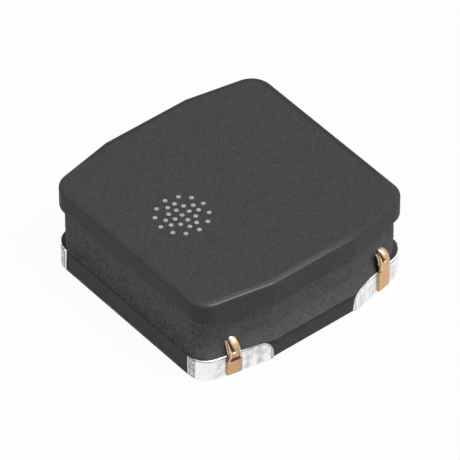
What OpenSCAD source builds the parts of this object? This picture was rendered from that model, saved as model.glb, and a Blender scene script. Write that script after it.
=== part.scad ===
// Shielded surface-mount power inductor.
//
// A ferrite drum core carries one enamelled copper winding. Resin filled with
// magnetic powder closes the winding window. Both wire ends leave the resin on
// the front side (-Y), bend over the bottom flange and are pressed flat onto the
// plated terminals, which also form the solder lands underneath.
//
// Origin: centre of the underside, on the board. +Z up, terminals at -X and +X.

/* [Body] */
// Width of the core flanges across the plain sides, along X
body_w = 4.88; // [4.6:0.01:5.2]
// Depth of the core flanges across the middle facets, along Y
body_d = 4.9; // [4.6:0.01:5.2]
// Overall height from the solder lands to the top face
body_h = 1.88; // [1.7:0.01:2.4]
// Length of the middle facet on the front and back sides
facet_l = 1.9; // [1.6:0.05:2.2]
// Angle by which the outer facets fall back from the middle facet
facet_angle = 11.2; // [6:0.1:14]
// Radius of the four upright corners
corner_r = 0.42; // [0.3:0.01:0.55]
// Radius of the rounded upper edge
edge_r = 0.12; // [0.05:0.01:0.2]

/* [Drum core] */
// Thickness of the top flange
top_flange_t = 0.47; // [0.35:0.01:0.5]
// Thickness of the bottom flange
bottom_flange_t = 0.5; // [0.4:0.01:0.6]
// Diameter of the post that joins the flanges
post_d = 2.2; // [1.8:0.05:2.4]

/* [Winding] */
// Tiers of wire in the winding window, an even number so that both ends lie outside
tiers = 4; // [4:2:6]
// Outer diameter of the wound coil
coil_d = 4.0; // [3.6:0.05:4.1]
// Clear space between neighbouring turns
turn_gap = 0.01; // [0.005:0.001:0.03]
// Clear space between the coil and the core
coil_gap = 0.03; // [0.02:0.005:0.04]

/* [Wire ends] */
// Distance of each wire end from the middle of the front side
end_x = 1.78; // [1.5:0.01:1.85]
// Slope at which the wire leaves the resin, in degrees
exit_slope = 46; // [38:1:52]
// Width of the wire where it bends over the flange
neck_w = 0.26; // [0.2:0.01:0.3]
// Thickness of the wire where it bends over the flange
neck_t = 0.12; // [0.08:0.01:0.14]
// Width of the flattened end
pad_w = 0.32; // [0.28:0.01:0.4]
// Thickness of the flattened end
pad_t = 0.05; // [0.03:0.005:0.07]
// Height of the top of the flattened end above the board
pad_top = 0.42; // [0.36:0.01:0.44]
// Height of the tip of the flattened end above the board
pad_tip = 0.05; // [0.03:0.01:0.1]

/* [Resin] */
// Depth of the waist behind the flange edge on the plain sides
waist_x = 0.05; // [0.03:0.01:0.1]
// Depth of the waist behind the edge of the middle facet
waist_y = 0.07; // [0.03:0.01:0.12]
// Depth of the waist behind the flange edge at the wire ends
waist_end = 0.14; // [0.08:0.01:0.16]
// How far the lower lip stands out past the plain sides
lip_x = 0.045; // [0.01:0.005:0.06]
// How far the lower lip stands out past the middle facet
lip_y = 0.07; // [0.01:0.005:0.09]
// Depth of the lower lip behind the flange edge at the wire ends
lip_end = 0.03; // [0.02:0.005:0.05]
// Height over which the lip flares out from the waist
lip_h = 0.34; // [0.25:0.01:0.45]
// Upright corner radius of the lower lip
lip_corner_r = 0.7; // [0.6:0.01:0.8]
// Clear space between the resin and the wire
resin_gap = 0.01; // [0.005:0.001:0.015]

/* [Terminals] */
// Thickness of the plated terminal film
film_t = 0.02; // [0.02:0.001:0.03]
// Width of each solder land, along X
land_w = 1.5; // [1.2:0.01:1.6]
// Radius of the upper inner corner of the plated sides
film_corner_r = 0.35; // [0.2:0.01:0.4]
// Distance from the middle of a plain side to where the plating starts
film_start_y = 1.79; // [1.7:0.01:1.85]
// Clear space around a flattened end in the plating
notch_gap = 0.005; // [0.003:0.001:0.01]

/* [Orientation mark] */
// Distance of the mark from the middle of the top face, towards -X
mark_x = 1.12; // [0.8:0.01:1.4]
// Diameter of one printed dot
dot_d = 0.09; // [0.07:0.01:0.11]
// Thickness of the ink, which fills shallow recesses up to the top face
ink_t = 0.02; // [0.02:0.001:0.03]
// Clear space around the ink of one dot
ink_gap = 0.003; // [0.002:0.001:0.005]
// Spacing of the dot rings
ring_pitch = 0.167; // [0.16:0.001:0.2]

/* [Hidden] */

half_w = body_w / 2;
half_d = body_d / 2;
core_bottom = film_t;
window_bottom = film_t + bottom_flange_t;
window_top = body_h - top_flange_t;
through = 1;                  // overshoot of every cutting tool
corner_steps = 8;             // facets of one upright corner
edge_steps = 5;               // facets of the rounded upper edge

// The wire is as thick as the winding window allows for its tiers
wire_d = (window_top - window_bottom - 2 * coil_gap - (tiers - 1) * turn_gap) / tiers;
wire_r = wire_d / 2;
wire_pitch = wire_d + turn_gap;
inner_r = post_d / 2 + coil_gap + wire_r;
outer_r = coil_d / 2 - wire_r;
tier_step = 40;               // degrees of arc over which the wire climbs one tier
first_z = window_bottom + coil_gap + wire_r;
last_z = first_z + (tiers - 1) * wire_pitch;
ring_step = 15;               // degrees between two cross-sections of the coil

// Outer facet at the wire ends: its foot point and its outward direction
end_y = half_d - (end_x - facet_l / 2) * tan(facet_angle);
out_x = sin(facet_angle);
out_y = -cos(facet_angle);

// Lead-out: the wire turns from the coil's tangent towards the facet at the knee
knee_cover = 0.36;             // resin in front of the knee's corner
knee_r = 1.1 * wire_d;         // bend radius of the wire at the knee
knee_steps = 4;
knee_depth = waist_end + knee_cover;
knee_x = end_x - knee_depth * out_x;
knee_y = -end_y - knee_depth * out_y;
knee_dist = norm([knee_x, knee_y]);
touch_angle = atan2(knee_y, knee_x) - acos(outer_r / knee_dist);
touch_heading = touch_angle + 90;
touch = outer_r * [cos(touch_angle), sin(touch_angle)];
exit_heading = facet_angle - 90;
knee_turn = touch_heading - exit_heading;
knee_setback = knee_r * tan(knee_turn / 2);
free_l = sqrt(pow(knee_dist, 2) - pow(outer_r, 2)) - knee_setback;
lift_off = 0.2;                // free length of the lead inside the bore of the resin
ramp_start = 0.55;             // free length of the lead before it changes height
ramp_steps = 8;

// Outside the knee the wire slopes down past the flange edge, clear of it by seat_gap
seat_gap = 0.01;
edge_clear = seat_gap + neck_t / 2;
slope_run = 0.06;              // sloping length of the wire inside the resin
slope_start = -waist_end - slope_run;
knee_end = knee_setback - knee_depth;
half_bend = (slope_start - knee_end) / 2;
function slope_z(out) = window_bottom + edge_clear / cos(exit_slope) - out * tan(exit_slope);
bend_z = slope_z(slope_start) + half_bend * tan(0.75 * exit_slope);
knee_z = bend_z + half_bend * tan(0.25 * exit_slope);

// Whole turns that fit, less the arc between the two touch points
tier_turns = (outer_r - inner_r) / wire_pitch;
missing_arc = 2 * (-90 - touch_angle);
climb_arc = (tiers - 1) * tier_step;
turns = floor((tiers * tier_turns * 360 + climb_arc - missing_arc) / 360);
wound_arc = turns * 360 - missing_arc;
tier_arc = (wound_arc - climb_arc) / tiers;
start_angle = -180 - touch_angle;

//////// Outlines ////////

// Centre of the front right corner arc of an outline
function corner_centre(hw, hd, fl, angle, r) =
    [hw - r, ((hw - r - fl / 2) * sin(angle) + r) / cos(angle) - hd];

// Front right quarter, from the middle facet to the plain side
function quarter(hw, hd, fl, angle, r) =
    let (c = corner_centre(hw, hd, fl, angle, r))
    concat([[fl / 2, -hd]],
           [for (i = [0 : corner_steps])
               let (a = angle - 90 + (90 - angle) * i / corner_steps)
               c + r * [cos(a), sin(a)]]);

function reversed(list) = [for (i = [len(list) - 1 : -1 : 0]) list[i]];

// Closed outline with three facets on the front and back and rounded corners
function outline(hw, hd, fl, angle, r) =
    let (q = quarter(hw, hd, fl, angle, r), b = reversed(q))
    concat(q,
           [for (p = b) [p[0], -p[1]]],
           [for (p = q) [-p[0], -p[1]]],
           [for (p = b) [-p[0], p[1]]]);

// Flange outline moved outwards by g
function flange_outline(g) =
    outline(half_w + g, half_d + g, facet_l + 2 * g * tan(facet_angle / 2), facet_angle, corner_r + g);

// Solid through a stack of levels [z, outline], all with as many points
module loft(levels) {
    n = len(levels[0][1]);
    m = len(levels);
    points = [for (l = levels) for (p = l[1]) [p[0], p[1], l[0]]];
    walls = [for (k = [0 : m - 2]) for (i = [0 : n - 1])
        let (a = k * n + i, b = k * n + (i + 1) % n)
        each [[a, a + n, b], [b, a + n, b + n]]];
    caps = [[for (i = [0 : n - 1]) i], [for (i = [n - 1 : -1 : 0]) (m - 1) * n + i]];
    polyhedron(points, concat(walls, caps), convexity = 4);
}

//////// Wire ////////

// A station is [x, y, z, heading, slope, half width, half thickness, flatness].
// The heading is the plan direction of travel, the slope its rise in degrees.

function ease(t) = t * t * (3 - 2 * t);

// Cross-section with eight corners around a station
function section(s) =
    let (side = [-sin(s[3]), cos(s[3]), 0],
         up = [-cos(s[3]) * sin(s[4]), -sin(s[3]) * sin(s[4]), cos(s[4])],
         c = [s[0], s[1], s[2]], w = s[5], t = s[6], f = s[7], e = tan(22.5))
    [for (k = [[1, e], [f, 1], [-f, 1], [-1, e], [-1, -e], [-f, -1], [f, -1], [1, -e]])
        c + side * w * k[0] + up * t * k[1]];

// Solid swept through the stations
module swept(stations) {
    n = 8;
    m = len(stations);
    points = [for (s = stations) each section(s)];
    walls = [for (k = [0 : m - 2]) for (i = [0 : n - 1])
        let (a = k * n + i, b = k * n + (i + 1) % n)
        each [[a, b, a + n], [b, b + n, a + n]]];
    caps = [[for (i = [n - 1 : -1 : 0]) i], [for (i = [0 : n - 1]) (m - 1) * n + i]];
    polyhedron(points, concat(walls, caps), convexity = 10);
}

// Half width and half thickness of the round wire, and its flatness
round_half = wire_r * cos(22.5);
round_flat = tan(22.5);
pad_flat = 0.9;
neck_flat = 0.55;

// Path beyond the knee as [out from the facet, z, slope, half width, half thickness, flatness]
mid_w = (neck_w + pad_w) / 2;
mid_t = (neck_t + pad_t) / 2;
edge_z = window_bottom + neck_t / 5;
slope_path = [
    [knee_end, knee_z, 0, round_half, round_half, round_flat],
    [knee_end + half_bend, bend_z, -exit_slope / 2, round_half, round_half, round_flat],
    [slope_start, slope_z(slope_start), -exit_slope, (neck_w + wire_d) / 4, (neck_t + wire_d) / 4, neck_flat],
    [0, slope_z(0), -exit_slope, neck_w / 2, neck_t / 2, neck_flat]
];
end_path = concat(slope_path, [
    [seat_gap + neck_t / 2, edge_z, -80, neck_w / 2, neck_t / 2, neck_flat],
    [seat_gap + mid_t / 2, (edge_z + pad_top) / 2, -90, mid_w / 2, mid_t / 2, neck_flat],
    [notch_gap + pad_t / 2, pad_top, -90, pad_w / 2, pad_t / 2, pad_flat],
    [notch_gap + pad_t / 2, pad_tip, -90, pad_w / 2, pad_t / 2, pad_flat]
]);

// Free length of the lead as [distance from the touch point, z, slope]; it leaves the coil at z0
function ramp(z0) =
    let (l = free_l - ramp_start, drop = knee_z - z0)
    concat([[lift_off, z0, 0]],
           [for (i = [0 : ramp_steps])
               let (t = i / ramp_steps)
               [ramp_start + l * t, z0 + drop * ease(t), atan(drop * 6 * t * (1 - t) / l)]]);

// Centre of the knee's bend
knee_centre = touch + free_l * [cos(touch_heading), sin(touch_heading)]
            + knee_r * [sin(touch_heading), -cos(touch_heading)];

// Right-hand lead from the coil to the tip
function lead(z0) = concat(
    [for (e = ramp(z0))
        [touch[0] + e[0] * cos(touch_heading), touch[1] + e[0] * sin(touch_heading), e[1],
         touch_heading, e[2], round_half, round_half, round_flat]],
    [for (i = [1 : knee_steps - 1])
        let (h = touch_heading - knee_turn * i / knee_steps)
        [knee_centre[0] - knee_r * sin(h), knee_centre[1] + knee_r * cos(h), knee_z, h, 0,
         round_half, round_half, round_flat]],
    [for (e = end_path)
        [end_x + e[0] * out_x, -end_y + e[0] * out_y, e[1], exit_heading, e[2], e[3], e[4], e[5]]]);

// Station of the coil after the arc a: tiers run inwards and outwards in turn
function coil_station(a) =
    let (span = tier_arc + tier_step,
         tier = min(floor(a / span), tiers - 1),
         rest = a - tier * span,
         t = min(rest / tier_arc, 1),
         u = max((rest - tier_arc) / tier_step, 0),
         r = tier % 2 == 0 ? outer_r + (inner_r - outer_r) * t : inner_r + (outer_r - inner_r) * t,
         angle = start_angle + a)
    [r * cos(angle), r * sin(angle), first_z + (tier + ease(u)) * wire_pitch, angle + 90, 0,
     round_half, round_half, round_flat];

// Left-hand lead: the right-hand one mirrored in X and travelled towards the coil
function arriving(list) =
    [for (s = reversed(list)) [-s[0], s[1], s[2], -s[3], -s[4], s[5], s[6], s[7]]];

coil_rings = round(wound_arc / ring_step);
wire_path = concat(
    arriving(lead(first_z)),
    [for (i = [0 : coil_rings]) coil_station(wound_arc * i / coil_rings)],
    lead(last_z));

//////// Sub-parts ////////

// Sintered ferrite: top flange with rounded edge, post and bottom flange in one piece
module drum_core() {
    color("#3b3b3c") {
        translate([0, 0, core_bottom])
            linear_extrude(bottom_flange_t) polygon(flange_outline(0));
        translate([0, 0, core_bottom])
            cylinder(h = window_top + top_flange_t / 2 - core_bottom, d = post_d, $fn = 96);
        difference() {
            loft(concat(
                [[window_top, flange_outline(0)]],
                [for (i = [0 : edge_steps])
                    let (a = 90 * i / edge_steps)
                    [body_h - edge_r * (1 - sin(a)), flange_outline(-edge_r * (1 - cos(a)))]]));
            mark(dot_d + 2 * ink_gap, ink_t + through);
        }
    }
}

// One continuous copper wire: coil and both flattened ends
module winding() {
    color("#c98f5e") swept(wire_path);
}

// Outline of the resin at one level: plain sides, middle facets and the facets
// at the wire ends lie behind the flange edge by dx, dy and de
function resin_outline(dx, dy, de, r) =
    let (fall = (half_d - end_y) + de / cos(facet_angle) - dy)
    outline(half_w - dx, half_d - dy, facet_l, atan2(fall, end_x - facet_l / 2), r);

// Resin around the coil, with a waist and a lip that flares out over the bottom flange
module resin_shield() {
    levels = 4;                // steps of the flare
    color("#414142")
        difference() {
            loft(concat(
                [for (i = [0 : levels])
                    let (t = i / levels, s = pow(1 - t, 2))
                    [window_bottom + lip_h * t,
                     resin_outline(waist_x - (waist_x + lip_x) * s,
                                   waist_y - (waist_y + lip_y) * s,
                                   waist_end - (waist_end - lip_end) * s,
                                   corner_r + (lip_corner_r - corner_r) * s)]],
                [[window_top, resin_outline(waist_x, waist_y, waist_end, corner_r)]]));
            translate([0, 0, window_bottom - through])
                cylinder(h = window_top - window_bottom + 2 * through, d = coil_d + 2 * resin_gap, $fn = 96);
            lead_tunnel(last_z);
            mirror([1, 0, 0]) lead_tunnel(first_z);
        }
}

// Side view of a channel around the path [distance, z, slope, half height]
function channel(path) = concat(
    [for (p = path) [p[0] - p[3] * sin(p[2]), p[1] + p[3] * cos(p[2])]],
    [for (p = reversed(path)) [p[0] + p[3] * sin(p[2]), p[1] - p[3] * cos(p[2])]]);

// Upright slab of the given width with a channel's side view
module slab(path, width) {
    rotate([90, 0, 0]) linear_extrude(width, center = true) polygon(channel(path));
}

// Space for the right-hand lead in the resin: along the tangent, round the knee and out.
// Each stretch is a little wider than the one before and reaches back into it.
module lead_tunnel(z0) {
    room = wire_r + 2 * resin_gap;
    overlap = 0.03;
    beyond = 0.1;
    knee_sides = [room + resin_gap, -room - resin_gap];
    corners = [for (side = knee_sides) [for (i = [0 : knee_steps])
        let (h = touch_heading - knee_turn * i / knee_steps)
        knee_centre + (knee_r + side) * [-sin(h), cos(h)]]];
    reach_back = overlap * [cos(touch_heading), sin(touch_heading)];
    exit_path = concat(
        [[knee_end - overlap, knee_z, 0, round_half + resin_gap]],
        [for (e = slope_path) [e[0], e[1], e[2], e[4] + resin_gap]],
        [[beyond, slope_z(beyond), -exit_slope, neck_t / 2 + resin_gap]]);
    translate(touch) rotate([0, 0, touch_heading])
        slab([for (e = ramp(z0)) [e[0], e[1], e[2], round_half + resin_gap]], 2 * room);
    translate([0, 0, knee_z - room])
        linear_extrude(2 * room)
            polygon(concat(corners[0], reversed(corners[1]),
                           [corners[1][0] - reach_back, corners[0][0] - reach_back]));
    translate([end_x, -end_y, 0]) rotate([0, 0, exit_heading])
        slab(exit_path, neck_w + 4 * resin_gap);
}

// Plated terminal at +X: land underneath and wraps up the two outer facets
module electrode() {
    land_x = half_w + film_t - land_w;
    color("#dcdcd8") {
        intersection() {
            linear_extrude(film_t) polygon(flange_outline(film_t));
            translate([land_x, -body_d, 0]) cube([body_w, 2 * body_d, film_t]);
        }
        difference() {
            linear_extrude(window_bottom) polygon(flange_outline(film_t));
            translate([0, 0, -through])
                linear_extrude(window_bottom + 2 * through) polygon(flange_outline(0));
            translate([-body_w, -body_d, -through])
                cube([body_w + land_x, 2 * body_d, window_bottom + 2 * through]);
            translate([0, -film_start_y, -through])
                cube([body_w, 2 * film_start_y, window_bottom + 2 * through]);
            film_corner(land_x);
            end_notch();
        }
    }
}

// Waste at the upper inner corner of the plated sides
module film_corner(land_x) {
    translate([land_x - through, body_d, window_bottom - film_corner_r])
        rotate([90, 0, 0])
            linear_extrude(2 * body_d)
                difference() {
                    square([film_corner_r + through, film_corner_r + through]);
                    translate([film_corner_r + through, 0]) circle(r = film_corner_r, $fn = 64);
                }
}

// Opening in the plating for the flattened end
module end_notch() {
    translate([end_x, -end_y, 0])
        rotate([0, 0, facet_angle])
            translate([-pad_w / 2 - notch_gap, -2 * film_t, pad_tip - notch_gap])
                cube([pad_w + 2 * notch_gap, 4 * film_t, window_bottom]);
}

module electrode_right() electrode();

module electrode_left() mirror([1, 0, 0]) electrode();

// Printed mark near the left terminal, flush with the top face
module orientation_dots() {
    color("#a9a9a9") mark(dot_d, ink_t);
}

// Rings of round dots around a middle dot
module mark(d, h) {
    spread = 14;               // degrees by which a pair of dots stands off its axis
    places = concat([[0, 0]], [for (q = [0 : 90 : 270]) each concat(
        [[1, q], [1.5, q + 45], [3, q]],
        [for (s = [-spread, spread]) each [[2, q + s], [3, q + 45 + s]]])]);
    translate([-mark_x, 0, body_h - ink_t])
        for (p = places)
            translate(p[0] * ring_pitch * [cos(p[1]), sin(p[1])]) cylinder(h = h, d = d, $fn = 24);
}

drum_core();
winding();
resin_shield();
electrode_left();
electrode_right();
orientation_dots();
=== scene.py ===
"""Looks of a low, shielded surface-mount power inductor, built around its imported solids.

The ferrite core, the resin, the two plated terminals, the copper wire and the printed
dots are each one piece in place of the CAD node of the same job.
"""

import math

import bmesh
import bpy
import numpy as np
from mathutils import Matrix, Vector


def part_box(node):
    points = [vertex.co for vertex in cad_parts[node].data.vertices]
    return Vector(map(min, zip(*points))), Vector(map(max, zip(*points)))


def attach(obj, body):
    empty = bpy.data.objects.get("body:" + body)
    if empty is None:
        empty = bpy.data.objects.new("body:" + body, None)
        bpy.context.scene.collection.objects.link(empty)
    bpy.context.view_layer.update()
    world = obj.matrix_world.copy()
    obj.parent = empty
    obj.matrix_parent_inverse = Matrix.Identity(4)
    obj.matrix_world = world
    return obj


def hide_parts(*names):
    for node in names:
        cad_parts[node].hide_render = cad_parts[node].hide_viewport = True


MM = 0.001
SHARP = math.radians(60)  # edges that turn more than this keep a hard corner

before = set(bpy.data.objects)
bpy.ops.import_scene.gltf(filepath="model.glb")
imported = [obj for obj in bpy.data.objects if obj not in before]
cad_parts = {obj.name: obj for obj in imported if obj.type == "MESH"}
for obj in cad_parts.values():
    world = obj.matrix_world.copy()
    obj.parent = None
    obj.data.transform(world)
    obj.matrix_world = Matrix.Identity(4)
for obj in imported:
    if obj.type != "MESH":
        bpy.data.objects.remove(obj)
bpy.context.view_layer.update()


# ---------------------------------------------------------------- sizes, in millimetres


def box_mm(node):
    """Low and high corners of the box round a CAD node."""
    low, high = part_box(node)
    return [c / MM for c in low], [c / MM for c in high]


core_low, core_high = box_mm("drum_core")
resin_low, resin_high = box_mm("resin_shield")
land_low, land_high = box_mm("electrode_right")
mark_low, mark_high = box_mm("orientation_dots")

HALF_W, HALF_D = core_high[0], core_high[1]
TOP = core_high[2] + 0.028  # a little proud of the solid
FLOOR_OF_CORE = core_low[2]
WINDOW_BOTTOM, WINDOW_TOP = resin_low[2], resin_high[2]

# ferrite core
FACET_L = 1.9  # middle facet of the front and back
FACET_ANGLE = math.radians(11.2)  # fall of the outer facets
CORNER_R = 0.42
BRIM = 0.022  # the top flange comes out a little wider than the bottom one
CAP_BOTTOM = WINDOW_TOP + 0.034
EDGE_REACH, EDGE_DROP = 0.125, 0.06  # rounding of the top edge: inwards and downwards
UNDER_R, RIM_R = 0.012, 0.02  # small roundings below the top flange and on the bottom one
POST_R = 1.1

# resin: how far its waist lies behind the flanges on the plain sides, on the middle
# facets and at the wires, and how far its lip stands out at the foot
WAIST_X, WAIST_Y, WAIST_END = 0.05, 0.07, 0.14
LIP_X = resin_high[0] - HALF_W
LIP_Y = resin_high[1] - HALF_D
LIP_END = 0.03  # at the wires the lip stays behind the flange by this
LIP_H = 0.34
LIP_CORNER_R, WAIST_CORNER_R = 0.7, 0.2
RUN_OUT = 0.012  # the filled corner stands this far past the bottom flange
BORE_R = 2.01
SWELL_HEIGHT, SWELL_REACH = 0.06, 0.2  # round each wire
RESIN_ROWS = 44

# plated terminals
FILM = land_high[0] - HALF_W  # thickness of the plating
LAND_X = land_low[0]  # inner edge of a land
FILM_CORNER_R = 0.35
FILM_START_Y = 1.79  # where the upright film ends on a plain side
FILM_PACE, LAND_PACE = 0.012, 0.06  # spacing of the points round a land
FILM_ROWS = 46
BEAD_HEIGHT, GROOVE_DEPTH = 0.007, 0.006

# copper wire
END_X = 1.78
END_Y = HALF_D - (END_X - FACET_L / 2) * math.tan(FACET_ANGLE)
WIRE_EXIT_Z = {1: 0.9, -1: 0.78}  # the two leads leave the resin at different heights
COIL_TIERS = 4
COIL_OUTER_R = 2.0
COIL_ROOM, TURN_GAP = 0.03, 0.01  # free room round the coil and between its turns

DOT_SIZE = 0.09  # printed mark


# ---------------------------------------------------------------- mesh making


def lattice(cell, seed):
    """A steady pseudo-random value from -1 to 1 for each whole-numbered cell."""
    n = cell.astype(np.int64)
    mixed = n[..., 0] * 73856093 ^ n[..., 1] * 19349663 ^ n[..., 2] * 83492791
    mixed = mixed ^ seed * 2654435761
    mixed = (mixed ^ (mixed >> 13)) * 1274126177 & 0xFFFFFFFF
    mixed = (mixed ^ (mixed >> 16)) & 0xFFFF
    return mixed / 32767.5 - 1


def eased(t):
    """A value from 0 to 1 with a smooth start and stop."""
    return t * t * (3 - 2 * t)


def grain(points, size, seed):
    """Smooth noise from -1 to 1 with lumps of the given size."""
    q = np.asarray(points) / size
    cell = np.floor(q)
    part = eased(q - cell)
    total = 0
    for corner in np.ndindex(2, 2, 2):
        weight = np.prod(np.where(corner, part, 1 - part), axis=-1)
        total = total + weight * lattice(cell + corner, seed)
    return total


def ridge(value, middle, width):
    """1 in the middle, falling off to 0 a few widths away."""
    return np.exp(-(((value - middle) / width) ** 2))


def step(value, low, high):
    """0 at low and 1 at high, smooth in between."""
    return eased(np.clip((value - low) / (high - low), 0, 1))


def make_piece(name, points, faces, node, material, marks=None):
    """A smooth mesh piece in place of a CAD node; points are in millimetres.

    Marks are named values from 0 to 1, one for each point, that the material can read.
    """
    mesh = bpy.data.meshes.new(name)
    mesh.from_pydata((np.asarray(points) * MM).tolist(), [], faces)
    for mark, values in (marks or {}).items():
        mesh.attributes.new(mark, "FLOAT", "POINT").data.foreach_set("value", values)
    work = bmesh.new()
    work.from_mesh(mesh)
    bmesh.ops.remove_doubles(work, verts=work.verts, dist=1e-8)
    bmesh.ops.dissolve_degenerate(work, edges=work.edges, dist=1e-9)
    bmesh.ops.recalc_face_normals(work, faces=work.faces)
    for face in work.faces:
        face.smooth = True
    for edge in work.edges:
        edge.smooth = edge.calc_face_angle(0) < SHARP
    work.to_mesh(mesh)
    work.free()
    piece = bpy.data.objects.new(name, mesh)
    bpy.context.scene.collection.objects.link(piece)
    mesh.materials.append(material)
    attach(piece, "root")
    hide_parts(node)
    return piece


def stacked(rings, closed=False):
    """Faces between rings of equal count, with a cap at either end or closed on itself."""
    count, levels = len(rings[0]), len(rings)
    faces = []
    for level in range(levels if closed else levels - 1):
        a, b = level * count, (level + 1) % levels * count
        for i in range(count):
            j = (i + 1) % count
            faces.append((a + i, a + j, b + j, b + i))
    if not closed:
        faces.append(tuple(range(count)))
        faces.append(tuple(range((levels - 1) * count, levels * count)))
    return faces


def at_height(plan, z):
    """Plan points at one height, or each at its own."""
    return np.column_stack([plan, np.broadcast_to(z, len(plan))])


# Points on a quarter of an outline: middle facet, outer facet, corner, plain side
QUARTER_COUNTS = (30, 36, 22, 54)


def corner_centre(half_w, half_d, facet_l, angle, corner_r):
    """Centre of the rounding at the front right corner, and where the outer facet meets it."""
    sin_a, cos_a = math.sin(angle), math.cos(angle)
    x = half_w - corner_r
    centre = np.array([x, ((x - facet_l / 2) * sin_a + corner_r) / cos_a - half_d])
    return centre, centre + corner_r * np.array([sin_a, -cos_a])


def outline(half_w, half_d, facet_l, angle, corner_r):
    """Closed plan outline with three facets front and back and rounded corners."""
    centre, arc_start = corner_centre(half_w, half_d, facet_l, angle, corner_r)
    stops = [
        (np.array([0, -half_d]), np.array([facet_l / 2, -half_d])),
        (np.array([facet_l / 2, -half_d]), arc_start),
        None,
        (np.array([half_w, centre[1]]), np.array([half_w, 0])),
    ]
    quarter = []
    for count, stop in zip(QUARTER_COUNTS, stops):
        for i in range(count):
            t = i / count
            if stop is None:
                a = (angle - math.pi / 2) * (1 - t)
                quarter.append(centre + corner_r * np.array([math.cos(a), math.sin(a)]))
            else:
                quarter.append(stop[0] + (stop[1] - stop[0]) * t)
    front = np.array(quarter)
    turned = np.vstack([front[1:], [[half_w, 0]]])[::-1]
    right = np.vstack([front, turned * [1, -1]])
    return np.vstack([right, -right])


def flange(outset):
    """Plan outline of both flanges, moved outwards."""
    return outline(
        HALF_W + outset,
        HALF_D + outset,
        FACET_L + 2 * outset * math.tan(FACET_ANGLE / 2),
        FACET_ANGLE,
        max(CORNER_R + outset, 0.02),
    )


def circle_like(plan, radius):
    """A circle with one point in the direction of each point of an outline."""
    return plan / np.linalg.norm(plan, axis=1)[:, None] * radius


# ---------------------------------------------------------------- materials


class Val:
    """A node's output that can be used in sums."""

    def __init__(self, paint, socket):
        self.paint = paint
        self.socket = socket

    def math(self, operation, *others):
        return self.paint.node("Math", {"operation": operation}, dict(enumerate((self, *others))))

    def __add__(self, other):
        return self.math("ADD", other)

    __radd__ = __add__

    def __mul__(self, other):
        return self.math("MULTIPLY", other)

    __rmul__ = __mul__

    def __sub__(self, other):
        return self.math("SUBTRACT", other)

    def __rsub__(self, other):
        return self.paint.node("Math", {"operation": "SUBTRACT"}, {0: other, 1: self})


class Paint:
    """The nodes of a material or of the world, under construction."""

    def __init__(self, owner):
        owner.use_nodes = True
        self.owner = owner
        self.tree = owner.node_tree
        self.tree.nodes.clear()

    def node(self, kind, settings=None, inputs=None, output=0):
        """Adds a node: its settings first, then the values or links of its sockets."""
        made = self.tree.nodes.new("ShaderNode" + kind)
        for key, value in (settings or {}).items():
            setattr(made, key, value)
        for key, value in (inputs or {}).items():
            if isinstance(value, Val):
                self.tree.links.new(value.socket, made.inputs[key])
            else:
                made.inputs[key].default_value = value
        return Val(self, made.outputs[output]) if made.outputs else None

    def place(self):
        """Position on the object in millimetres."""
        return self.stretched((1, 1, 1))

    def stretched(self, scale):
        """Position on the object in millimetres, scaled along each axis."""
        where = self.node("TexCoord", output="Object")
        return self.node(
            "VectorMath",
            {"operation": "MULTIPLY"},
            {0: where, 1: tuple(s / MM for s in scale)},
        )

    def noise(self, where, size, detail=2.0, rough=0.5):
        """Noise from 0 to 1 with lumps of the given size in millimetres."""
        return self.node(
            "TexNoise",
            {},
            {"Vector": where, "Scale": 1 / size, "Detail": detail, "Roughness": rough},
        )

    def between(self, value, low, high):
        """0 below low, 1 above high, smooth in between."""
        return self.node(
            "MapRange",
            {"interpolation_type": "SMOOTHSTEP"},
            {"Value": value, "From Min": low, "From Max": high, "To Min": 0.0, "To Max": 1.0},
        )

    def mark(self, name):
        """A value that the piece carries on its points."""
        return self.node("Attribute", {"attribute_name": name}, output="Fac")

    def part(self, where, axis):
        """One coordinate of a position."""
        return self.node("SeparateXYZ", {}, {0: where}, output=axis)

    def blend(self, factor, first, second):
        """One colour turning into another."""
        return self.node("Mix", {"data_type": "RGBA"}, {0: factor, 6: first, 7: second}, output=2)

    def bump(self, height, depth, strength=1.0):
        """Normals for a height from 0 to 1 that stands for the depth in millimetres."""
        return self.node(
            "Bump", {}, {"Strength": strength, "Distance": depth * MM, "Height": height}
        )

    def finish(self, **sockets):
        """Closes a material with one surface shader."""
        inputs = {key.replace("_", " "): value for key, value in sockets.items()}
        self.node("OutputMaterial", {}, {"Surface": self.node("BsdfPrincipled", {}, inputs)})
        return self.owner


def new_paint(name):
    """Nodes of a new material."""
    return Paint(bpy.data.materials.new(name))


def grey(level):
    return (level, level, level, 1.0)


def ferrite_ceramic():
    """Sintered ferrite: dark grey, matt, with a fine uneven grain and a few pits."""
    paint = new_paint("ferrite_ceramic")
    where = paint.place()
    cloud = paint.noise(where, 0.12, 3.0)
    fine = paint.noise(where, 0.03, 2.0)
    pits = paint.between(paint.noise(where, 0.07, 1.0), 0.235, 0.2)
    tone = paint.between(cloud * 0.22 + fine * 0.78, 0.34, 0.66)
    colour = paint.blend(tone, (0.0425, 0.0426, 0.0428, 1), (0.0665, 0.0666, 0.0668, 1))
    colour = paint.blend(pits * 0.6, colour, grey(0.014))
    # painted shade: the far top edges, at the back and one side, are darkened
    colour = paint.blend(paint.mark("far_edge_shade") * 0.45, colour, grey(0.018))
    return paint.finish(
        Base_Color=colour,
        Roughness=fine * 0.16 + 0.52,
        Coat_Weight=paint.mark("polish") * 0.6,
        Coat_Roughness=0.32,
        Normal=paint.bump(fine * 0.7 + cloud * 0.3 - pits, 0.0012),
        Specular_IOR_Level=0.13,
    )


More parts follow.
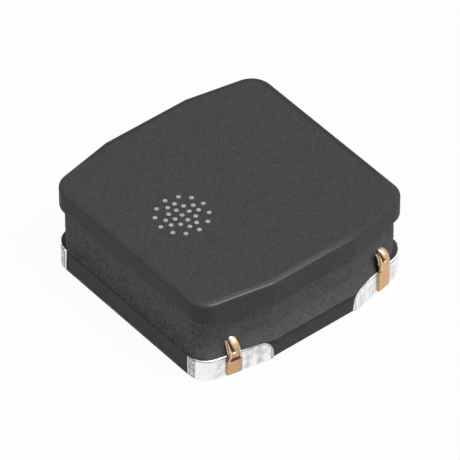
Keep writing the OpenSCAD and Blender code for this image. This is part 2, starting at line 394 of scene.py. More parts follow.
def magnetic_resin():
    """Epoxy filled with magnetic powder: dark grey, rough and speckled."""
    paint = new_paint("magnetic_resin")
    where = paint.place()
    cloud = paint.noise(where, 0.22, 3.0)
    lumps = paint.noise(where, 0.075, 3.0, 0.6)
    fine = paint.noise(where, 0.04, 1.0)
    # the powder lies coarser on the plain sides than on the faceted ones
    side = paint.between(paint.part(where, 0).math("ABSOLUTE"), 2.25, 2.36)
    specks = paint.between(lumps * 0.6 + fine * 0.4, 0.48, 0.36) * (side * 0.35 + 0.25)
    colour = paint.blend(
        paint.between(cloud * 0.4 + fine * 0.6, 0.3, 0.7),
        (0.074, 0.0742, 0.0745, 1),
        (0.110, 0.1102, 0.1105, 1),
    )
    bright = paint.between(fine * 0.5 + lumps * 0.5, 0.46, 0.64) * side
    colour = paint.blend(bright, colour, (0.14, 0.1402, 0.1405, 1))
    height = paint.part(where, 2)
    # darker towards the foot on the plain sides, and a painted shadow line just above the bottom
    # flange
    low = paint.between(height, WINDOW_BOTTOM + 0.35, WINDOW_BOTTOM) * side * 0.22
    painted_shadow_line = paint.between(height, WINDOW_BOTTOM + 0.04, WINDOW_BOTTOM + 0.015) * side * 0.6
    colour = paint.blend(specks, colour, grey(0.03))
    colour = paint.blend((low + painted_shadow_line).math("MINIMUM", 0.7), colour, grey(0.03))
    return paint.finish(
        Base_Color=colour,
        Roughness=lumps * 0.2 + 0.65,
        Normal=paint.bump(lumps * 0.7 + fine * 0.3, 0.005),
        Specular_IOR_Level=0.15,
    )


def tin_plating():
    """Dull tin plating over fired paste: pale, mottled, with faint upright streaks."""
    paint = new_paint("tin_plating")
    where = paint.place()
    blots = paint.noise(where, 0.13, 2.0)
    streaks = paint.noise(paint.stretched((1, 1, 0.12)), 0.09, 1.0)
    fine = paint.noise(paint.stretched((1, 1, 2)), 0.03, 2.0)
    stain = paint.between(blots * 0.6 + streaks * 0.4, 0.38, 0.72)
    stain = stain * 0.85 + paint.between(fine, 0.4, 0.7) * 0.15
    # painted highlight: the turn of each corner is painted brighter, after a strip of painted dark
    # reflection where it starts
    from_middle = paint.part(where, 0).math("ABSOLUTE")
    sideways = paint.part(where, 1).math("ABSOLUTE")
    highlight_zone = paint.between(from_middle, 2.1, 2.24)
    stain = stain * (1 - highlight_zone * 0.75)
    colour = paint.blend(stain, (0.99, 0.99, 0.985, 1), (0.52, 0.53, 0.525, 1))
    # painted dark reflection: a speckled dark strip where the film of each corner starts
    painted_dark_reflection = paint.between(sideways, 2.0, 1.96) * paint.between(sideways, 1.82, 1.84)
    painted_dark_reflection = painted_dark_reflection * (paint.between(fine, 0.38, 0.56) * 0.7 + 0.2)
    painted_dark_reflection = painted_dark_reflection * paint.between(paint.part(where, 2), 0.01, 0.04)
    painted_dark_reflection = painted_dark_reflection * paint.between(from_middle, 2.3, 2.32)
    colour = paint.blend(painted_dark_reflection, colour, grey(0.12))
    # painted shade darkens the groove below the bead
    colour = paint.blend(paint.mark("groove_and_shade") * 0.85, colour, grey(0.15))
    return paint.finish(
        Base_Color=colour,
        Metallic=0.9,
        Roughness=0.3 + stain * 0.2,
        Normal=paint.bump(fine * 0.4 + blots * 0.6, 0.004),
    )


def pressed_copper():
    """Copper wire: bare on the pressed faces, brown enamel left in the folds and sides; the brown
    also paints shade and dark reflection into the folds, the hollow, the crease and the pad's rim.
    """
    paint = new_paint("pressed_copper")
    where = paint.place()
    scratches = paint.noise(paint.stretched((0.4, 0.4, 3)), 0.06, 2.0)
    blots = paint.noise(where, 0.09, 2.0)
    tint = paint.noise(where, 0.16, 1.0)
    # one end is a little paler than the other
    end = paint.between(paint.part(where, 0), -0.5, 0.5)
    colour = paint.blend(end, (0.57, 0.34, 0.20, 1), (0.74, 0.43, 0.235, 1))
    colour = paint.blend(paint.between(tint, 0.4, 0.6) * 0.6, colour, (0.69, 0.47, 0.24, 1))
    dull = paint.between(blots * 0.5 + scratches * 0.5, 0.35, 0.65) * 0.5
    colour = paint.blend(dull, colour, (0.46, 0.27, 0.15, 1))
    # painted highlight: pale cream on the cap and in thin lines beside the folds
    colour = paint.blend(paint.mark("painted_highlight"), colour, (0.95, 0.88, 0.76, 1))
    # enamel, and painted shade and dark reflection in the folds and along the edges, take the dark
    # brown
    enamel_and_shade = paint.mark("enamel_and_shade")
    enamel_and_shade_colour = paint.blend(tint, (0.075, 0.030, 0.012, 1), (0.085, 0.058, 0.026, 1))
    colour = paint.blend(paint.between(enamel_and_shade + (blots - 0.5) * 0.3, 0.15, 0.8), colour, enamel_and_shade_colour)
    return paint.finish(
        Base_Color=colour,
        Metallic=1 - enamel_and_shade * 0.3,
        Roughness=0.2 + scratches * 0.16,
        Normal=paint.bump(scratches, 0.002),
    )


def printing_ink():
    """Light grey ink, thin enough at its rim for the ferrite to dull it."""
    paint = new_paint("printing_ink")
    where = paint.place()
    mottle = paint.noise(where, 0.03, 2.0)
    colour = paint.blend(paint.between(mottle, 0.3, 0.7), grey(0.36), grey(0.5))
    return paint.finish(
        Base_Color=colour,
        Roughness=0.55 + mottle * 0.2,
        Normal=paint.bump(mottle, 0.002),
        Specular_IOR_Level=0.35,
    )


# ---------------------------------------------------------------- ferrite core


# rings of the core, counted from the top, that are rubbed and that carry painted shade
POLISHED_RINGS = slice(3, 9)
SHADED_RINGS = slice(2, 13)


def rounded(centre, radius, steps, first, last):
    """Outsets and heights along an arc between two directions in degrees."""
    turns = np.radians(np.linspace(first, last, steps + 1))
    return [(centre[0] + radius * math.cos(t), centre[1] + radius * math.sin(t)) for t in turns]


def upright(outset, top, bottom):
    """Outsets and heights down a straight wall, without its ends."""
    return [(outset, z) for z in np.linspace(top, bottom, 8)[1:-1]]


def build_core(material):
    """Top flange with a rounded edge, post and bottom flange as one closed skin."""
    lead_in, deep = 0.004, 0.3  # narrow flat strip before a rounding, and reach of a flat face
    cap = [(BRIM - EDGE_REACH - 0.03, TOP), (BRIM - EDGE_REACH - lead_in, TOP)]
    for turn in np.radians(np.linspace(90, 0, 11)):
        inward = EDGE_REACH * (1 - math.cos(turn))
        cap.append((BRIM - inward, TOP - EDGE_DROP * (1 - math.sin(turn))))
    cap += upright(BRIM, TOP - EDGE_DROP, CAP_BOTTOM + UNDER_R)
    cap += rounded((BRIM - UNDER_R, CAP_BOTTOM + UNDER_R), UNDER_R, 3, 0, -90)
    cap += [(-deep, CAP_BOTTOM)]
    foot = [(-RIM_R - deep, WINDOW_BOTTOM), (-RIM_R - lead_in, WINDOW_BOTTOM)]
    foot += rounded((-RIM_R, WINDOW_BOTTOM - RIM_R), RIM_R, 4, 90, 0)
    foot += upright(0, WINDOW_BOTTOM - RIM_R, FLOOR_OF_CORE + RIM_R)
    foot += rounded((-RIM_R, FLOOR_OF_CORE + RIM_R), RIM_R, 4, 0, -90)
    foot += [(-RIM_R - lead_in, FLOOR_OF_CORE)]
    post = circle_like(flange(0), POST_R)
    rings = [at_height(flange(g), z) for g, z in cap]
    rings += [at_height(post, CAP_BOTTOM), at_height(post, WINDOW_BOTTOM)]
    rings += [at_height(flange(g), z) for g, z in foot]
    # the rounded top edge is rubbed smooth along the front, up to the last facet
    plan = flange(0)
    along = np.roll(plan, -1, axis=0) - np.roll(plan, 1, axis=0)
    highlight_zone = (along[:, 0] / np.linalg.norm(along, axis=1)) ** 2 * (plan[:, 1] < 0)
    highlight_zone = highlight_zone * step(plan[:, 0], FACET_L / 2 + 0.4, FACET_L / 2 - 0.9)
    # and painted shade along the far top edges, at the back and one side
    far_shade_mask = step(plan[:, 1] / HALF_D + plan[:, 0] / HALF_W, 0.2, 0.5)
    polish, far_edge_shade = np.zeros((2, len(rings), len(plan)))
    polish[POLISHED_RINGS] = highlight_zone
    far_edge_shade[SHADED_RINGS] = far_shade_mask
    marks = {"polish": polish.ravel(), "far_edge_shade": far_edge_shade.ravel()}
    return make_piece(
        "ferrite_core", np.vstack(rings), stacked(rings), "drum_core", material, marks
    )


# ---------------------------------------------------------------- resin


def resin_plan(z):
    """Outline of the resin at a height: a waist and a lip that flares out below it.

    At one front corner the resin has run out to the edge of the flange.
    """
    s = max(1 - (z - WINDOW_BOTTOM) / LIP_H, 0) ** 2
    dx = WAIST_X - (WAIST_X + LIP_X) * s
    dy = WAIST_Y - (WAIST_Y + LIP_Y) * s

    def pulled_in(depth, corner_r):
        """Outline whose outer facets lie behind those of the flange by a depth."""
        fall = (HALF_D - END_Y) + depth / math.cos(FACET_ANGLE) - dy
        angle = math.atan2(fall, END_X - FACET_L / 2)
        radius = WAIST_CORNER_R + (corner_r - WAIST_CORNER_R) * s
        return outline(HALF_W - dx, HALF_D - dy, FACET_L, angle, radius)

    drawn = pulled_in(WAIST_END - (WAIST_END - LIP_END) * s, LIP_CORNER_R)
    run_out = pulled_in(WAIST_END * (1 - s) - RUN_OUT * s, CORNER_R)
    corner = (drawn[:, 0] < 0) & (drawn[:, 1] < 0)
    return np.where(corner[:, None], run_out, drawn)


def swelling(wall):
    """How far the resin stands out round the two wires, in millimetres."""
    total = 0
    for side in (1, -1):
        exit_at = np.array([side * END_X, -END_Y, WIRE_EXIT_Z[side]])
        reach = (wall - exit_at) * [1, 0.6, 0.9]
        total = total + SWELL_HEIGHT * ridge(np.linalg.norm(reach, axis=2), 0, SWELL_REACH)
    return total


def build_resin(material):
    """Powder-filled resin with a grainy skin, as one closed ring."""
    heights = np.linspace(CAP_BOTTOM, WINDOW_BOTTOM, RESIN_ROWS)
    wall = np.array([at_height(resin_plan(z), z) for z in heights])
    along = np.roll(wall, -1, axis=1) - np.roll(wall, 1, axis=1)
    down = np.gradient(wall, axis=0)
    normal = np.cross(down, along)
    normal /= np.linalg.norm(normal, axis=2)[..., None]
    fade = np.sin(np.linspace(0, math.pi, RESIN_ROWS)) ** 0.35
    lumps = grain(wall, 0.075, 3) * 0.5 + grain(wall, 0.035, 5) * 0.35
    pits = np.clip(grain(wall, 0.09, 11) - 0.35, 0, 1)
    offset = lumps * 0.006 - pits * 0.02 + swelling(wall)
    wall = wall + normal * (offset * fade[:, None])[..., None]
    bore = circle_like(resin_plan(WINDOW_TOP), BORE_R)
    rings = list(wall) + [at_height(bore, WINDOW_BOTTOM), at_height(bore, CAP_BOTTOM)]
    points, faces = np.vstack(rings), stacked(rings, closed=True)
    return make_piece("resin_ring", points, faces, "resin_shield", material)


# ---------------------------------------------------------------- terminals


def run(start, stop, outward, height, pace):
    """Evenly spaced columns along a straight edge of the land."""
    start, stop = np.array(start), np.array(stop)
    count = max(int(round(np.linalg.norm(stop - start) / pace)), 1)
    places = [start + (stop - start) * i / count for i in range(count + 1)]
    return [(place, np.array(outward), height(place)) for place in places]


def film_height(place):
    """Height of the upright film, with a rounded upper corner at its inner end."""
    u = min(place[0] - LAND_X, FILM_CORNER_R)
    rise = math.sqrt(max(FILM_CORNER_R**2 - (FILM_CORNER_R - u) ** 2, 0))
    return WINDOW_BOTTOM - FILM_CORNER_R + rise


def land_height(place):
    """Height of the land's own edge, where no film rises from it."""
    return FILM


def terminal_columns():
    """Walk round the land of the right-hand terminal: place, outward direction and height.

    The walk goes round the two plated corners, along the plain side between them and
    back along the inner edge of the land. Where the height changes at once, one place
    has two columns. Also gives the number of columns of one film and of half the walk.
    """
    sin_a, cos_a = math.sin(FACET_ANGLE), math.cos(FACET_ANGLE)
    centre, arc_start = corner_centre(HALF_W, HALF_D, FACET_L, FACET_ANGLE, CORNER_R)
    inner = np.array([LAND_X, (LAND_X - FACET_L / 2) * sin_a / cos_a - HALF_D])
    front = run(inner, arc_start, (sin_a, -cos_a), film_height, FILM_PACE)
    count = int(round(CORNER_R * (math.pi / 2 - FACET_ANGLE) / FILM_PACE))
    for i in range(count + 1):
        a = (FACET_ANGLE - math.pi / 2) * (1 - i / count)
        outward = np.array([math.cos(a), math.sin(a)])
        front.append((centre + CORNER_R * outward, outward, WINDOW_BOTTOM))
    film_end = (HALF_W, -FILM_START_Y)
    front += run((HALF_W, centre[1]), film_end, (1, 0), film_height, FILM_PACE)
    side = run(film_end, (HALF_W, 0), (1, 0), land_height, LAND_PACE)
    half, middle = front + side[:-1], side[-1:]
    mirrored = [(p * [1, -1], n * [1, -1], h) for p, n, h in reversed(half)]
    back = run((LAND_X, -inner[1]), (LAND_X, inner[1]), (-1, 0), land_height, LAND_PACE)
    return half + middle + mirrored + back, len(front), len(half)


def drawn_in(places, outward):
    """The same walk a little further in, with its two inner corners kept square."""
    inset = 0.06
    limit = np.abs(places[-1, 1]) - 1.25 * inset
    moved = places - outward * inset
    square = (moved[:, 0] <= LAND_X + inset) | (outward[:, 0] < -0.5)
    moved[square, 1] = np.clip(moved[square, 1], -limit, limit)
    moved[:, 0] = np.maximum(moved[:, 0], LAND_X + inset)
    return moved


def build_terminal(name, node, mirror, material):
    """Plated terminal: land underneath and a thin film up both outer corners."""
    columns, wrap, half = terminal_columns()
    places, outward, height = (np.array(column) for column in zip(*columns))
    count = len(columns)
    # which columns carry film, and how far each is from the upright end of it
    film, reach = np.zeros(count, bool), np.full(count, 1.0)
    walk = np.linalg.norm(np.diff(places[:wrap], axis=0), axis=1)
    walk = np.concatenate([[0], np.cumsum(walk)])
    ends = np.minimum(walk, walk[-1] - walk)
    second = 2 * half + 1 - wrap
    for first, distance in ((0, ends), (second, ends[::-1])):
        film[first : first + wrap] = True
        reach[first : first + wrap] = distance
    elsewhere = np.array([7 if mirror else 0, 0, 0])  # the two terminals don't match
    uneven_top = 0.005 * grain(at_height(places, 0) + elsewhere, 0.16, 21) - 0.006
    height = np.where(film, height + uneven_top, height)

    inside = drawn_in(places, outward)
    rings = [at_height(inside, 0), at_height(places, 0)]
    for a in np.radians([30, 60, 90]):
        rings.append(at_height(places + outward * FILM * math.sin(a), FILM * (1 - math.cos(a))))
    # these rows carry the groove's depth, which the material paints as shade
    groove_shade_rows = [np.zeros(count)] * len(rings)
    for row in range(1, FILM_ROWS + 1):
        z = FILM + (height - FILM) * (1 - (1 - row / FILM_ROWS) ** 1.3)
        to_rim = np.minimum(height - z, reach)
        rim = np.sqrt(np.clip(1 - (1 - np.clip(to_rim / 0.02, 0, 1)) ** 2, 0, 1))
        bead, groove_and_shade = ridge(to_rim, 0.016, 0.01), ridge(to_rim, 0.04, 0.013)
        skin = at_height(places, z) + elsewhere
        uneven = 0.0022 * grain(skin, 0.07, 31) + 0.002 * grain(skin * [1, 1, 0.3], 0.05, 33)
        thick = FILM * (0.12 + 0.88 * rim) + uneven * rim
        thick = np.where(film, thick + BEAD_HEIGHT * bead - GROOVE_DEPTH * groove_and_shade, FILM)
        rings.append(at_height(places + outward * thick[:, None], z))
        groove_shade_rows.append(np.where(film, groove_and_shade, 0))
    rings += [at_height(places, height), at_height(places, FILM), at_height(inside, FILM)]
    groove_shade_rows += [np.zeros(count)] * 3
    points = np.vstack(rings) * ([-1, 1, 1] if mirror else 1)
    marks = {"groove_and_shade": np.concatenate(groove_shade_rows)}
    return make_piece(name, points, stacked(rings), node, material, marks)


# ---------------------------------------------------------------- wire


def smooth_path(keys, rows):
    """Rows of values on a smooth curve through key rows, evenly spread by the first two values."""
    keys = np.array(keys, float)
    padded = np.vstack([2 * keys[0] - keys[1], keys, 2 * keys[-1] - keys[-2]])
    fine = []
    for i in range(1, len(padded) - 2):
        p0, p1, p2, p3 = padded[i - 1 : i + 3]
        for t in np.linspace(0, 1, 24, endpoint=False):
            fine.append(
                0.5
                * (
                    2 * p1
                    + (p2 - p0) * t
                    + (2 * p0 - 5 * p1 + 4 * p2 - p3) * t**2
                    + (3 * p1 - p0 - 3 * p2 + p3) * t**3
                )
            )
    fine.append(keys[-1])
    fine = np.array(fine)
    walk = np.linalg.norm(np.diff(fine[:, :2], axis=0), axis=1)
    walk = np.concatenate([[0], np.cumsum(walk)])
    wanted = np.linspace(0, walk[-1], rows)
    return np.column_stack([np.interp(wanted, walk, fine[:, k]) for k in range(fine.shape[1])])


def section(half_w, half_t, square, count):
    """Points round a cross-section; square is 2 for an ellipse and more for a pressed bar."""
    turn = np.linspace(0, 2 * math.pi, count, endpoint=False)
    circle = np.column_stack([np.cos(turn), np.sin(turn)])
    return np.sign(circle) * np.abs(circle) ** (2 / square) * [half_w, half_t]


# The wire from inside the resin to its tip: out from the facet, height, half width, half
# thickness and squareness of the section
PAD_KEYS = [
    (0.035, 0.2, 0.16, 0.034, 6.0),
    (0.035, 0.07, 0.16, 0.034, 6.0),
    (0.033, 0.05, 0.155, 0.022, 4.0),
]
END_KEYS = {
    1: [
        (-0.34, 0.85, 0.1, 0.1, 2.0),
        (-0.2, 0.862, 0.11, 0.098, 2.0),
        (-0.1, 0.865, 0.125, 0.094, 2.1),
        (-0.035, 0.84, 0.136, 0.086, 2.2),
        (-0.002, 0.795, 0.144, 0.078, 2.4),
        (0.014, 0.745, 0.15, 0.07, 2.6),
        (0.024, 0.695, 0.156, 0.062, 2.8),
        (0.03, 0.64, 0.16, 0.054, 3.0),
        (0.038, 0.585, 0.16, 0.046, 3.4),
        (0.038, 0.535, 0.16, 0.038, 4.2),
        (0.036, 0.49, 0.16, 0.034, 5.5),
        (0.035, 0.38, 0.16, 0.034, 6.0),
    ],
    -1: [
        (-0.34, 0.76, 0.1, 0.1, 2.0),
        (-0.22, 0.772, 0.108, 0.098, 2.0),
        (-0.14, 0.765, 0.12, 0.092, 2.1),
        (-0.09, 0.73, 0.13, 0.084, 2.3),
        (-0.045, 0.68, 0.138, 0.076, 2.4),
        (-0.005, 0.615, 0.14, 0.068, 2.6),
        (0.028, 0.55, 0.14, 0.06, 2.8),
        (0.045, 0.49, 0.145, 0.052, 3.2),
        (0.047, 0.43, 0.153, 0.042, 3.6),
        (0.04, 0.38, 0.16, 0.036, 4.6),
        (0.035, 0.33, 0.16, 0.034, 6.0),
    ],
}
FLAT_TOP = {1: 0.53, -1: 0.36}  # height at which each end has become flat
END_ROWS, END_COUNT = 190, 96  # rings of a pressed end, and points round it
COIL_COUNT = 24  # points round the hidden coil
JOIN_RING = 6  # ring of a pressed end in which its lead stops


def folds(u, down, side):
    """Depth of the folds in the front of a wire end, the enamel and painted shade in them, and
    painted highlights.

    u runs from -1 to 1 across the wire and down from 0 at the resin to 1 at the flat end.
    """
    # long fold that runs from the left edge towards the middle
    slide = np.clip(down / 0.5, 0, 1)
    long_fold = ridge(u, -0.62 + 0.5 * slide, 0.15 + 0.12 * slide) * step(down, 0.56, 0.46)
    # split along the left edge
    split = ridge(u, -0.78 - 0.06 * down, 0.1) * step(down, 1.0, 0.85)
    # thin fold inside the right edge
    thin = ridge(u, 0.6, 0.1) * step(down, 0.25, 0.4) * step(down, 0.85, 0.75)
    # painted highlight: a pale spot on the cap and thin bright lines along the edges and folds
    painted_highlight = ridge(u, 0.0, 0.3) * step(down, 0.36, 0.05)
    painted_highlight = painted_highlight + ridge(u, -0.97, 0.07) * step(down, 0.65, 0.5)
    painted_highlight = painted_highlight + ridge(u, 0.82, 0.1) * step(down, 0.2, 0.5) * 0.7
    painted_highlight = painted_highlight + ridge(u, -0.6, 0.08) * step(down, 0.1, 0.3) * 0.6
    painted_highlight = np.clip(painted_highlight, 0, 1) * step(down, 1.0, 0.9) * 0.8
    # hollow between two ribs where the wire turns flat
    width = 0.5 + 0.25 * np.clip((down - 0.7) / 0.25, 0, 1)
    hollow = step(np.abs(u - 0.06), width + 0.1, width - 0.1)
    hollow = hollow * step(down, 0.7, 0.78) * step(down, 1.04, 0.98)
    # the folds, the hollow and the crease take the enamel colour as painted shade and dark
    # reflection, over some real enamel
    depth = long_fold * 0.05 + split * 0.035 + thin * 0.01
    if side < 0:
        depth = depth + hollow * 0.022
        enamel_and_shade = long_fold + split * 0.7 + thin * 0.55 + hollow * 0.95
    else:
        enamel_and_shade = long_fold + split * 0.9 + thin * 0.3
        crease_shade = ridge(down, 1.0, 0.04) * (0.25 + 0.6 * step(u, -0.3, -0.6))
        shade = ridge(u, 0.8 - 1.6 * np.clip(down - 0.5, 0, 1), 0.22)
        shade = shade * step(down, 0.45, 0.6) * step(down, 1.0, 0.9)
        enamel_and_shade = enamel_and_shade + crease_shade + shade * 0.25
    return depth, enamel_and_shade, painted_highlight


def wire_end(side):
    """Rings and marks of one wire end, from inside the resin to the tip, at +X for side 1."""
    rows = smooth_path(END_KEYS[side] + PAD_KEYS, END_ROWS)
    tangent = np.gradient(rows[:, :2], axis=0)
    tangent /= np.linalg.norm(tangent, axis=1)[:, None]
    out = np.array([side * math.sin(FACET_ANGLE), -math.cos(FACET_ANGLE), 0])
    across = np.array([math.cos(FACET_ANGLE), side * math.sin(FACET_ANGLE), 0])
    start = np.array([side * END_X, -END_Y, 0])
    exit_z, flat_z = WIRE_EXIT_Z[side], FLAT_TOP[side]
    rings, enamel_and_shade_rows, bright = [], [], []
    for (o, z, w, t, square), (to, tz) in zip(rows, tangent):
        points = section(w, t, square, END_COUNT)
        u, v = points[:, 0] / w, points[:, 1] / t
        front = np.clip(v, 0, 1)
        down = (exit_z - z) / (exit_z - flat_z)
        depth, enamel_and_shade, painted_highlight = folds(u, np.full(END_COUNT, down), side)
        shown = step(o, -0.3, -0.2)
        # enamel is left on the sides and the back, more of it above the flat pad, and on the
        # rounded sides it also paints shade
        neck = step(down, 1.05, 0.95)
        kept = 0.4 + 0.45 * neck
        edge = step(u, 0.89, 0.97) + step(u, -0.88, -0.95) * step(down, 0.45, 0.6)
        edge = np.maximum(edge * kept, step(v, 0.1, -0.4) * (0.4 + 0.5 * neck))
        # and a little painted shade along the rim of the pad
        rim = step(z, 0.085, 0.06) * 0.5 + step(u, 0.84, 0.95) * 0.4 * (1 - neck)
        points[:, 1] -= front * depth * shown
        normal = -tz * out + np.array([0, 0, to])
        rings.append(start + o * out + [0, 0, z] + points[:, :1] * across + points[:, 1:] * normal)
        enamel_and_shade_rows.append(np.clip(np.maximum.reduce([enamel_and_shade * front, edge, rim + 0 * u]), 0, 1))
        bright.append(painted_highlight * front * shown)
    return rings, np.concatenate(enamel_and_shade_rows), np.concatenate(bright)


def coil_path():
    """Centre line of the coil, its wire's radius and the bend of the right-hand lead."""
    links = COIL_TIERS - 1
    room = WINDOW_TOP - WINDOW_BOTTOM - 2 * COIL_ROOM - links * TURN_GAP
    wire_r = room / (2 * COIL_TIERS)
    first_z = WINDOW_BOTTOM + COIL_ROOM + wire_r
    pitch = 2 * wire_r + TURN_GAP
    inner_r, outer_r = POST_R + COIL_ROOM + wire_r, COIL_OUTER_R - wire_r
    # each lead bends behind its facet, straight in from where its pressed end starts
    depth = WAIST_END + 0.36
    knee = np.array(
        [END_X - depth * math.sin(FACET_ANGLE), -END_Y + depth * math.cos(FACET_ANGLE)]
    )
    touch = math.atan2(knee[1], knee[0]) - math.acos(outer_r / np.linalg.norm(knee))
    start = -math.pi - touch
    gap = 2 * (-math.pi / 2 - touch)
    climb, whole = math.radians(40), 2 * math.pi
    wound = COIL_TIERS * (outer_r - inner_r) / pitch * whole + links * climb
    arc = math.floor((wound - gap) / whole) * whole - gap
    span = (arc - links * climb) / COIL_TIERS
    path = []
    for a in np.linspace(0, arc, int(arc / math.radians(9))):
        tier = min(int(a // (span + climb)), links)
        rest = a - tier * (span + climb)
        t = min(rest / span, 1)
        r = outer_r + (inner_r - outer_r) * (t if tier % 2 == 0 else 1 - t)
        z = first_z + (tier + eased(max((rest - span) / climb, 0))) * pitch
        path.append((r * math.cos(start + a), r * math.sin(start + a), z))
    return np.array(path), wire_r, knee


def lead_points(coil_end, knee, pressed_end):
    """Points of a lead from the coil past its bend to where the pressed end starts."""
    touch, end, z0, z1 = coil_end[:2], pressed_end[:2], coil_end[2], pressed_end[2]
    found = []
    for t in np.linspace(0.05, 0.88, 14):
        spot = touch + (knee - touch) * t
        found.append((*spot, z0 + (z1 - z0) * eased(np.clip((t - 0.3) / 0.6, 0, 1))))
    a, b, c = touch + (knee - touch) * 0.9, knee, knee + (end - knee) * 0.75
    for t in np.linspace(0.1, 0.9, 7):
        spot = a * (1 - t) ** 2 + 2 * b * t * (1 - t) + c * t * t
        found.append((*spot, z1))
    return np.array(found)


def tube(path, radius):
    """Rings of round wire along a path, with the width of every ring kept level."""
    tangent = np.gradient(path, axis=0)
    tangent /= np.linalg.norm(tangent, axis=1)[:, None]
    across = np.column_stack([-tangent[:, 1], tangent[:, 0], 0 * tangent[:, 0]])
    across /= np.linalg.norm(across, axis=1)[:, None]
    lift = np.cross(tangent, across)
    ring = section(radius, radius, 2.0, COIL_COUNT)
    return [
        centre + ring[:, :1] * side + ring[:, 1:] * up
        for centre, side, up in zip(path, across, lift)
    ]


def build_wire(material):
    """One wire: the hidden coil with both leads, and the two pressed ends."""
    coil, wire_r, knee = coil_path()
    right, right_enamel_and_shade, right_bright = wire_end(1)
    left, left_enamel_and_shade, left_bright = wire_end(-1)
    start_right = np.mean(right[JOIN_RING], axis=0)
    start_left = np.mean(left[JOIN_RING], axis=0)
    lead_right = lead_points(coil[-1], knee, start_right)
    lead_left = lead_points(coil[0], knee * [-1, 1], start_left)
    path = np.vstack([start_left, lead_left[::-1], coil, lead_right, start_right])
    points, faces = [], []
    for rings in (tube(path, wire_r), right, left):
        faces += [tuple(i + len(points) for i in face) for face in stacked(rings)]
        points += np.vstack(rings).tolist()
    coil_points = len(points) - len(right_enamel_and_shade) - len(left_enamel_and_shade)
    marks = {
        "enamel_and_shade": np.concatenate([np.ones(coil_points), right_enamel_and_shade, left_enamel_and_shade]),
        "painted_highlight": np.concatenate([np.zeros(coil_points), right_bright, left_bright]),
    }
    return make_piece("copper_wire", points, faces, "winding", material, marks)


# ---------------------------------------------------------------- printed dots


# radius and height above the top face, from the foot of a dot to its crown
DOT_PROFILE = [(0.045, -0.004), (0.0452, 0.0), (0.0435, 0.0022), (0.038, 0.0034), (0.02, 0.004)]
DOT_POINTS = 28


def dot_centres():
    """Middle of every dot of the mark, set out round the middle of the CAD mark."""
    x, y = (mark_low[0] + mark_high[0]) / 2, (mark_low[1] + mark_high[1]) / 2
    pitch = (mark_high[0] - mark_low[0] - DOT_SIZE) / 6
    spokes = [(0, 0)]  # rings out from the middle, and direction in degrees
    for quarter in range(0, 360, 90):
        spokes += [(1, quarter), (1.5, quarter + 45), (3, quarter)]
        spokes += [(2, quarter - 14), (2, quarter + 14), (3, quarter + 31), (3, quarter + 59)]
    found = []
    for ring, turn in spokes:
        r, a = ring * pitch, math.radians(turn)
        found.append((round(x + r * math.cos(a), 4), round(y + r * math.sin(a), 4)))
    return sorted(found)


def build_dots(material):
    """Thin, slightly uneven spots of ink on the top face."""
    points, faces = [], []
    turn = np.linspace(0, 2 * math.pi, DOT_POINTS, endpoint=False)
    spot = np.column_stack([np.cos(turn), np.sin(turn), 0 * turn])
    for index, (x, y) in enumerate(dot_centres()):
        wobble = 1 + 0.05 * grain(spot + [index * 5, 0, 0], 0.8, 41)
        rings = [spot * r * wobble[:, None] + [x, y, TOP + z] for r, z in DOT_PROFILE]
        faces += [tuple(i + len(points) for i in face) for face in stacked(rings)]
        points += np.vstack(rings).tolist()
    return make_piece("ink_dots", points, faces, "orientation_dots", material)


# ---------------------------------------------------------------- studio


AMBIENT = 0.22
LAMPS = [  # name, place, width and power, in metres and watts
    ("lamp_above", (0.016, -0.044, 0.111), 0.055, 0.09),
    ("lamp_right", (0.075, -0.11, 0.07), 0.09, 0.036),
    ("lamp_left", (-0.083, 0.06, 0.11), 0.06, 0.026),
]
FLOOR_REACH, FLOOR_LEVEL = 0.6, -0.00001
AZIMUTH, ELEVATION = math.radians(-39.28), math.radians(42.99)
DISTANCE, AIM_HEIGHT = 0.11025, 0.00094


def seen_plainly(paint):
    """1 for what is seen straight, in a gloss or through glass, and 0 for what lights the part."""
    seen = paint.node("LightPath", output="Is Camera Ray")
    mirrored = paint.node("LightPath", output="Is Glossy Ray")
    through = paint.node("LightPath", output="Is Transmission Ray")
    return (seen + mirrored + through).math("MINIMUM", 1.0)


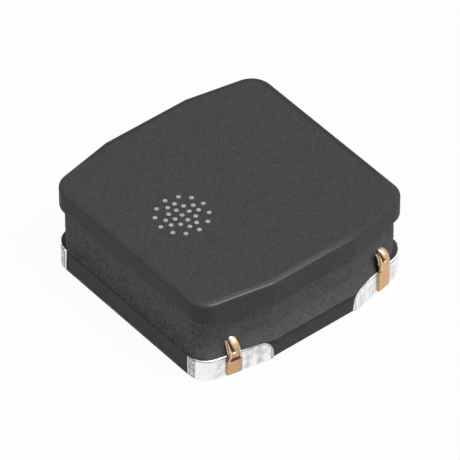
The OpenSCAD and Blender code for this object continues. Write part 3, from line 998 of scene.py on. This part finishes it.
def build_floor():
    """Pale floor that keeps the part's shadow."""
    paint = new_paint("studio_floor")
    matt = paint.node("BsdfDiffuse", {}, {"Color": grey(0.62)})
    glow = paint.node("Emission", {}, {"Color": grey(1.0), "Strength": 1.0})
    mixed = paint.node("MixShader", {}, {0: seen_plainly(paint) * 0.96, 1: matt, 2: glow})
    paint.node("OutputMaterial", {}, {"Surface": mixed})
    mesh = bpy.data.meshes.new("studio_floor")
    corners = [
        (x * FLOOR_REACH, y * FLOOR_REACH, FLOOR_LEVEL)
        for x, y in ((-1, -1), (1, -1), (1, 1), (-1, 1))
    ]
    mesh.from_pydata(corners, [], [(0, 1, 2, 3)])
    mesh.materials.append(paint.owner)
    floor = bpy.data.objects.new("studio_floor", mesh)
    bpy.context.scene.collection.objects.link(floor)


def build_world():
    """White surroundings that light the part only a little."""
    world = bpy.data.worlds.new("studio_world")
    bpy.context.scene.world = world
    paint = Paint(world)
    strength = seen_plainly(paint) * (1 - AMBIENT) + AMBIENT
    background = paint.node("Background", {}, {"Color": grey(1.0), "Strength": strength})
    paint.node("OutputWorld", {}, {"Surface": background})


def put(name, data, place, towards):
    """Adds a lamp or camera that looks in a direction."""
    holder = bpy.data.objects.new(name, data)
    holder.location = place
    holder.rotation_mode = "QUATERNION"
    holder.rotation_quaternion = towards.to_track_quat("-Z", "Y")
    bpy.context.scene.collection.objects.link(holder)
    return holder


def build_lamps():
    """Soft round lamps that face the part."""
    for name, place, size, power in LAMPS:
        lamp = bpy.data.lights.new(name, "AREA")
        lamp.shape = "DISK"
        lamp.size = size
        lamp.energy = power
        put(name, lamp, place, -Vector(place))


def build_camera():
    """Long lens from above the front left corner."""
    level = math.cos(ELEVATION)
    back = Vector(
        (math.sin(AZIMUTH) * level, -math.cos(AZIMUTH) * level, math.sin(ELEVATION))
    )
    data = bpy.data.cameras.new("camera")
    data.sensor_width = 36
    data.lens = 465.3
    data.shift_x, data.shift_y = 0.0013, -0.0059
    data.clip_start, data.clip_end = 0.005, 5
    camera = put("camera", data, Vector((0, 0, AIM_HEIGHT)) + back * DISTANCE, -back)
    bpy.context.scene.camera = camera
    bpy.context.scene.view_settings.view_transform = "Standard"


build_camera()
build_floor()
build_world()
build_lamps()
build_core(ferrite_ceramic())
build_resin(magnetic_resin())
tin = tin_plating()
build_terminal("terminal_right", "electrode_right", False, tin)
build_terminal("terminal_left", "electrode_left", True, tin)
build_wire(pressed_copper())
build_dots(printing_ink())
